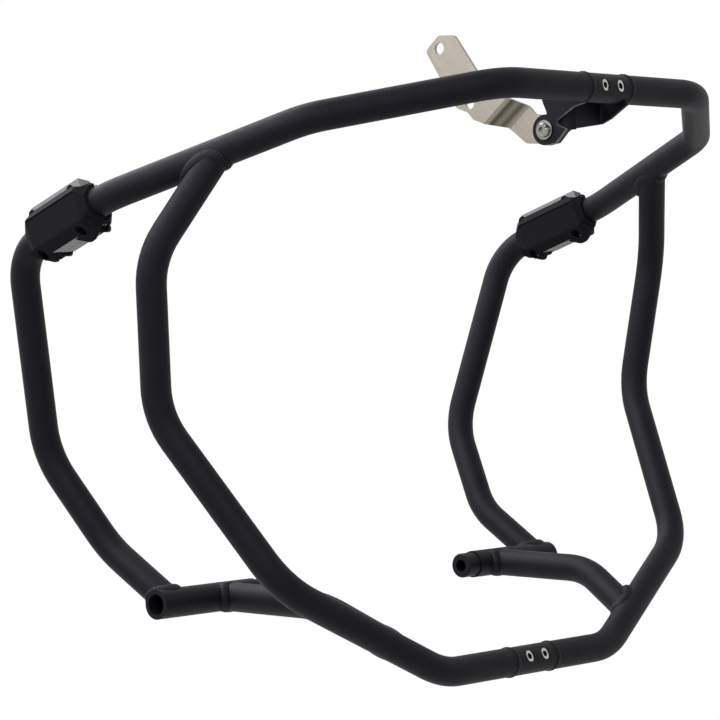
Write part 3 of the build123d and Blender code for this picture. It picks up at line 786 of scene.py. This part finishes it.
@dataclass
class SplitJoints:
    """The two socket and spigot joints on the middle line, with their flush screws.

    The shares of the hexagon and of the rim tell the faces in the socket from those of the head.
    """

    screw_spacing: float = 23.0
    screw_face: float = 12.4
    head: float = 10.8
    shank: float = 6.0
    screw_length: float = 18.0
    screw_sides: int = 48
    hexagon: float = 5.4
    hexagon_depth: float = 1.8
    rim_rounding: float = 0.3
    rim_angle: float = 40.0
    smooth_angle: float = 30.0
    facing: float = 0.9
    socket_reach: float = 0.56
    socket_floor: float = 1.05
    socket_lip: float = 0.9

    def dress(self) -> None:
        """Coats the turned joint pieces."""
        coat = PowderCoat("coated_joint", peel=0.9, relief=0.015, smooth=0.46, dull=0.58).material()
        for joint in JOINTS:
            dress(f"{joint.name}_joint_socket", coat)
            dress(f"{joint.name}_joint_spigot", coat)

    def blank(self) -> Object:
        """Models a countersunk screw about Z, its flat face at zero and its shank below."""
        bpy.ops.object.select_all(action="DESELECT")
        cone = (self.head - self.shank) / 2
        bpy.ops.mesh.primitive_cone_add(
            vertices=self.screw_sides,
            radius1=self.shank / 2 * MM,
            radius2=self.head / 2 * MM,
            depth=cone * MM,
            location=(0.0, 0.0, -cone / 2 * MM),
        )
        screw = bpy.context.object
        bpy.ops.object.transform_apply(location=True, rotation=True, scale=True)
        for face in screw.data.polygons:
            face.select = face.normal.z < -self.facing
        bpy.ops.object.mode_set(mode="EDIT")
        bpy.ops.mesh.select_mode(type="FACE")
        bpy.ops.mesh.extrude_region_move(
            TRANSFORM_OT_translate={"value": (0.0, 0.0, (cone - self.screw_length) * MM)}
        )
        bpy.ops.object.mode_set(mode="OBJECT")
        return screw

    def screw(self) -> Object:
        """Cuts the hexagon socket into a blank screw and rounds its rims."""
        screw = self.blank()
        bpy.ops.mesh.primitive_cylinder_add(
            vertices=6,
            radius=self.hexagon / math.sqrt(3) * MM,
            depth=self.hexagon_depth * 2 * MM,
        )
        punch = bpy.context.object
        bpy.context.view_layer.objects.active = screw
        socket = screw.modifiers.new("socket", "BOOLEAN")
        socket.operation = "DIFFERENCE"
        socket.object = punch
        bpy.ops.object.modifier_apply(modifier=socket.name)
        bpy.data.objects.remove(punch)
        rim = screw.modifiers.new("rim", "BEVEL")
        rim.width = self.rim_rounding * MM
        rim.segments = 2
        rim.limit_method = "ANGLE"
        rim.angle_limit = math.radians(self.rim_angle)
        bpy.ops.object.modifier_apply(modifier=rim.name)
        return screw

    def plate(self, screw: Object, bright: Material, socket_shade: Material) -> None:
        """Finishes a screw that stands about Z.

        Args:
            screw: The screw.
            bright: Material of the head and shank.
            socket_shade: Dark material inside the socket, a painted shade of the recess.
        """
        screw.data.materials.append(bright)
        screw.data.materials.append(socket_shade)
        floor = -self.hexagon_depth * self.socket_floor
        lip = -self.rim_rounding * self.socket_lip
        # Faces sunk in the hexagon socket take the dark material, a painted shade of the recess.
        for face in screw.data.polygons:
            inside = face.center.xy.length < self.hexagon * self.socket_reach * MM
            sunk = floor < face.center.z / MM < lip
            face.material_index = int(inside and sunk)

    def build_screws(self) -> None:
        """Sets two screws in each joint, bright on the rim and with painted shade in the socket."""
        zinc = PlatedSteel("bright_joint_screw", deep="#a09e9a", pale="#bfbdb9").material()
        # The dark socket material is painted shade in the hexagon recess.
        socket_shade = PlatedSteel("painted_socket_shade", deep="#171614", pale="#26241f", smooth=0.4, dull=0.55).material()
        for joint in JOINTS:
            screws = []
            for way in (-0.5, 0.5):
                screw = self.screw()
                self.plate(screw, zinc, socket_shade)
                across = Vector((self.screw_spacing * way, 0.0, 0.0))
                screw.location = (Vector(joint.middle) + across + joint.outward() * self.screw_face) * MM
                screw.rotation_euler = (math.pi / 2 - math.radians(joint.lean), 0.0, 0.0)
                screws.append(screw)
            pair = join(screws, f"{joint.name}_joint_screw_pair")
            bpy.ops.object.shade_smooth_by_angle(angle=math.radians(self.smooth_angle))
            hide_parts(f"{joint.name}_joint_screws")
            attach(pair, BODY)
            LOG.info("%s: %d faces", pair.name, len(pair.data.polygons))


@dataclass
class StayBracket:
    """The plates under the top joint, the stay strap and the bolt through them."""

    strap_slope: float = 49.5
    crank_from_bolt: tuple[float, float] = (48.0, 3.2)

    def crank_start(self) -> float:
        """Gives where the strap's crank starts, along the strap's slope from the origin."""
        low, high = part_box("bracket_bolt")
        bolt = (low + high) / 2 / MM
        slope = math.radians(self.strap_slope)
        rear, up = self.crank_from_bolt
        return (bolt.y + rear) * math.cos(slope) + (bolt.z + up) * math.sin(slope)

    def dress(self) -> None:
        """Coats the plates and finishes the strap and the fasteners."""
        coat = PowderCoat("coated_plate").material()
        # The front plate's rim faces carry a painted highlight.
        cut = PlateCoatPaintedEdgeHighlight("coated_plate_painted_edge_highlight").material()
        strip = RolledStainless(
            "rolled_stainless",
            slope=self.strap_slope,
            crank_from=self.crank_start(),
        ).material()
        steel = PlatedSteel("bright_steel").material()
        dress("bracket_front_plate", cut)
        dress("bracket_rear_plate", coat)
        dress("stay_strap", strip)
        for piece in ("bracket_bolt", "bracket_washer", "bracket_nut"):
            dress(piece, steel)


@dataclass
class CrashPads:
    """The bolted pads on the hoops."""

    cover: Finish = MouldedPlastic("pad_plastic")
    clamp: Finish = MouldedPlastic(
        "pad_clamp", deep="#78767a", pale="#908e91", pebble=0.7, relief=0.02, reflection=0.3
    )
    screw: Finish = PlatedSteel("black_screw", deep="#1c1c1d", pale="#2b2b2c", smooth=0.34, dull=0.48)
    nut: Finish = PlatedSteel("bright_pad_nut")

    def dress(self) -> None:
        """Finishes covers, clamps, screws and nuts of both pads."""
        cover = self.cover.material()
        clamp = self.clamp.material()
        screw = self.screw.material()
        nut = self.nut.material()
        for side in Side:
            for face in ("outer", "inner"):
                dress(f"{side.value}_pad_{face}_cover", cover)
                dress(f"{side.value}_pad_{face}_clamp", clamp)
            dress(f"{side.value}_pad_screws", screw)
            dress(f"{side.value}_pad_nuts", nut)


@dataclass(frozen=True)
class SoftLamp:
    """Square soft box aimed at a point."""

    name: str
    place: Place
    size: float
    power: float
    aim: Place = (0.0, -80.0, 200.0)

    def build(self) -> None:
        """Adds the lamp."""
        bpy.ops.object.light_add(type="AREA", location=Vector(self.place) * MM)
        lamp = bpy.context.object
        lamp.name = self.name
        lamp.data.shape = "SQUARE"
        lamp.data.size = self.size * MM
        lamp.data.energy = self.power
        way = Vector(self.aim) - Vector(self.place)
        lamp.rotation_euler = way.to_track_quat("-Z", "Y").to_euler()


@dataclass
class Studio:
    """White studio: a pale floor that fades into a white surround, soft lamps and the camera."""

    floor_drop: float = 400.0
    floor_radius: float = 1050.0
    floor_sides: int = 128
    fade_from: float = 500.0
    floor_colour: str = "#f6f6f4"
    surround_light: float = 0.2
    camera_place: Place = (-2124.5, -1863.0, 320.8)
    camera_heading: float = 48.623
    camera_pitch: float = -2.190
    camera_lens: float = 145.26
    sensor: float = 36.0
    lamps: tuple[SoftLamp, ...] = (
        SoftLamp("key_box", (-280.0, 1300.0, 1610.0), 1900.0, 50.0),
        SoftLamp("left_box", (-1530.0, 290.0, 1430.0), 1700.0, 38.0),
        SoftLamp("front_box", (-1230.0, -1240.0, 1260.0), 1400.0, 14.0),
    )

    @staticmethod
    def seen_rays(tree: NodeTree) -> NodeSocket:
        """Adds up the rays that show the white surround: camera, glossy and transmission rays."""
        path = add_node(tree, "ShaderNodeLightPath").outputs
        mirrored = add_node(
            tree,
            "ShaderNodeMath",
            {"operation": "MAXIMUM"},
            {0: path["Is Glossy Ray"], 1: path["Is Transmission Ray"]},
        )
        seen = add_node(
            tree,
            "ShaderNodeMath",
            {"operation": "MAXIMUM"},
            {0: path["Is Camera Ray"], 1: mirrored.outputs[0]},
        )
        return seen.outputs[0]

    def build_surround(self) -> None:
        """Makes the world: white where it is seen, softer where it lights."""
        world = bpy.data.worlds.new("white_surround")
        bpy.context.scene.world = world
        world.use_nodes = True
        tree = world.node_tree
        tree.nodes.clear()
        white = linear(WHITE)
        light = add_node(tree, "ShaderNodeBackground", {"Color": white, "Strength": self.surround_light})
        shown = add_node(tree, "ShaderNodeBackground", {"Color": white, "Strength": 1.0})
        mix = add_node(
            tree,
            "ShaderNodeMixShader",
            links={0: self.seen_rays(tree), 1: light.outputs[0], 2: shown.outputs[0]},
        )
        add_node(tree, "ShaderNodeOutputWorld", links={"Surface": mix.outputs[0]})

    def floor_material(self) -> Material:
        """Makes the floor's matt paint, which keeps the shadow in the middle and fades to white."""
        material = bpy.data.materials.new("studio_floor")
        material.use_nodes = True
        tree = material.node_tree
        tree.nodes.clear()
        place = add_node(tree, "ShaderNodeTexCoord").outputs["Object"]
        out = add_node(tree, "ShaderNodeVectorMath", {"operation": "LENGTH"}, {0: place})
        fade = add_node(
            tree,
            "ShaderNodeMapRange",
            {
                "interpolation_type": "SMOOTHSTEP",
                "From Min": self.fade_from * MM,
                "From Max": self.floor_radius * MM,
            },
            {"Value": out.outputs["Value"]},
        )
        shown = add_node(
            tree,
            "ShaderNodeMath",
            {"operation": "MULTIPLY"},
            {0: fade.outputs["Result"], 1: self.seen_rays(tree)},
        )
        paint = add_node(tree, "ShaderNodeBsdfDiffuse", {"Color": linear(self.floor_colour)})
        white = add_node(tree, "ShaderNodeEmission", {"Color": linear(WHITE), "Strength": 1.0})
        mix = add_node(
            tree,
            "ShaderNodeMixShader",
            links={0: shown.outputs[0], 1: paint.outputs[0], 2: white.outputs[0]},
        )
        add_node(tree, "ShaderNodeOutputMaterial", links={"Surface": mix.outputs[0]})
        return material

    def build_floor(self) -> None:
        """Lays the round floor below the bars."""
        bpy.ops.object.select_all(action="DESELECT")
        bpy.ops.mesh.primitive_circle_add(
            vertices=self.floor_sides,
            radius=self.floor_radius * MM,
            fill_type="NGON",
            location=(0.0, 0.0, CAD_BOX[0].z - self.floor_drop * MM),
        )
        floor = bpy.context.object
        floor.name = "studio_floor"
        floor.data.materials.append(self.floor_material())

    def build_camera(self) -> None:
        """Sets the camera where the picture was taken from."""
        bpy.ops.object.camera_add(
            location=Vector(self.camera_place) * MM,
            rotation=(math.radians(90.0 + self.camera_pitch), 0.0, -math.radians(self.camera_heading)),
        )
        camera = bpy.context.object
        camera.data.sensor_width = self.sensor
        camera.data.lens = self.camera_lens
        bpy.context.scene.camera = camera

    def build(self) -> None:
        """Builds surround, floor, lamps and camera."""
        bpy.context.scene.view_settings.view_transform = "Standard"
        self.build_surround()
        self.build_floor()
        for lamp in self.lamps:
            lamp.build()
        self.build_camera()


def main() -> None:
    """Dresses each sub-assembly, models the seams and screws, and sets the studio."""
    tubes = TubeFrame()
    tubes.dress()
    tubes.build_seams()
    joints = SplitJoints()
    joints.dress()
    joints.build_screws()
    StayBracket().dress()
    CrashPads().dress()
    Studio().build()


if __name__ == "__main__":
    main()
